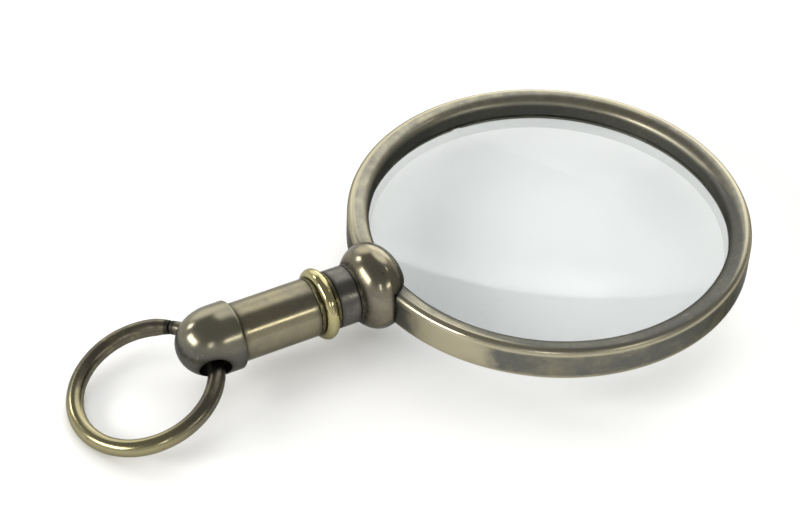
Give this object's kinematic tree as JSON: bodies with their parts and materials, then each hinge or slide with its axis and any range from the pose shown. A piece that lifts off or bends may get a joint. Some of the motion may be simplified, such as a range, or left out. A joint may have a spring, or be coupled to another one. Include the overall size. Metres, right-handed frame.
{
  "type": "hand lens",
  "caption": "Round framed hand lens on a short turned brass handle, with a swinging hanging ring at its end, for looking closely at small things.",
  "frame": {"origin": "middle of the base of the bounding box", "axes": "+Z along the lens's optical axis, -X along the handle towards the hanging ring"},
  "size_m": [0.089, 0.05, 0.0125],
  "materials": {
    "aged_brass": "polished brass gone dull and brown with handling",
    "dark_brass": "darkened brass",
    "bright_brass": "brass rubbed bright",
    "clear_glass": "polished",
    "steel": "plain turned"
  },
  "bodies": {
    "lens_and_handle": {"rim_band": "aged_brass", "lens": "clear_glass", "keeper_ring": "aged_brass", "ball_collar": "aged_brass", "neck_sleeve": "dark_brass", "bead_ring": "bright_brass", "handle_tube": "aged_brass", "end_plug": "aged_brass", "handle_screw": "steel", "end_cap": "aged_brass"},
    "hanging_ring": {"hanging_ring": "aged_brass"}
  },
  "joints": [
    {"name": "ring_swing", "type": "hinge", "parent": "lens_and_handle", "child": "hanging_ring", "pos_m": [-0.02778, 0, 0.00595], "axis": [0, 1, 0], "range_deg": [-147, 172]}
  ]
}
